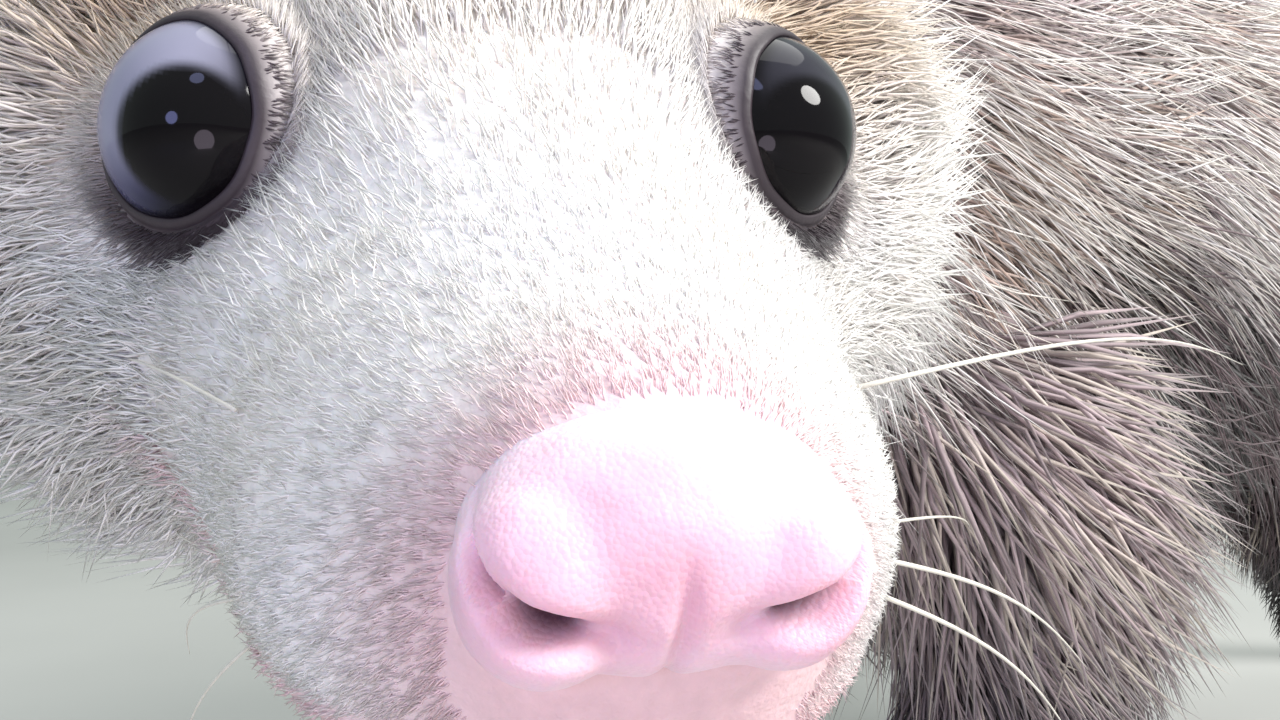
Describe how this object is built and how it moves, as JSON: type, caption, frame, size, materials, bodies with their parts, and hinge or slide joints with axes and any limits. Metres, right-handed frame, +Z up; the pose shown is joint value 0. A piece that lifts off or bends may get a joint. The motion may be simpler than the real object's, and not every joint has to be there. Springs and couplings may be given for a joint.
{
  "type": "opossum model",
  "caption": "Life-size standing opossum with a grizzled coat, pale turned face, cupped ears, bare pink nose and long bare tail.",
  "frame": {"origin": "on the floor, under the middle of the whole animal's box", "axes": "+Z up, the tail towards +Y and the head towards -Y, the animal's left side towards +X"},
  "size_m": [0.1894, 0.7568, 0.2415],
  "materials": {
    "white_fur": "short dense white fur with a cream tint",
    "grey_fur": "long white-tipped guard hairs over brown-grey underfur",
    "black_fur": "short black-brown fur",
    "ear_skin": "thin bare black skin with a pale rim",
    "foot_skin": "bare pinkish skin",
    "tail_skin": "bare skin in fine ringed scales",
    "eye": "wet black gloss"
  },
  "bodies": {
    "root": {"head": "white_fur", "eye_left": "eye", "eye_right": "eye", "ear_left": "ear_skin", "ear_right": "ear_skin", "neck": "grey_fur", "torso": "grey_fur", "foreleg_left": "black_fur", "foreleg_right": "black_fur", "hindleg_left": "black_fur", "hindleg_right": "black_fur", "forefoot_left": "foot_skin", "forefoot_right": "foot_skin", "hindfoot_left": "foot_skin", "hindfoot_right": "foot_skin", "tail_base": "tail_skin", "tail_middle": "tail_skin", "tail_tip": "tail_skin"}
  },
  "joints": []
}
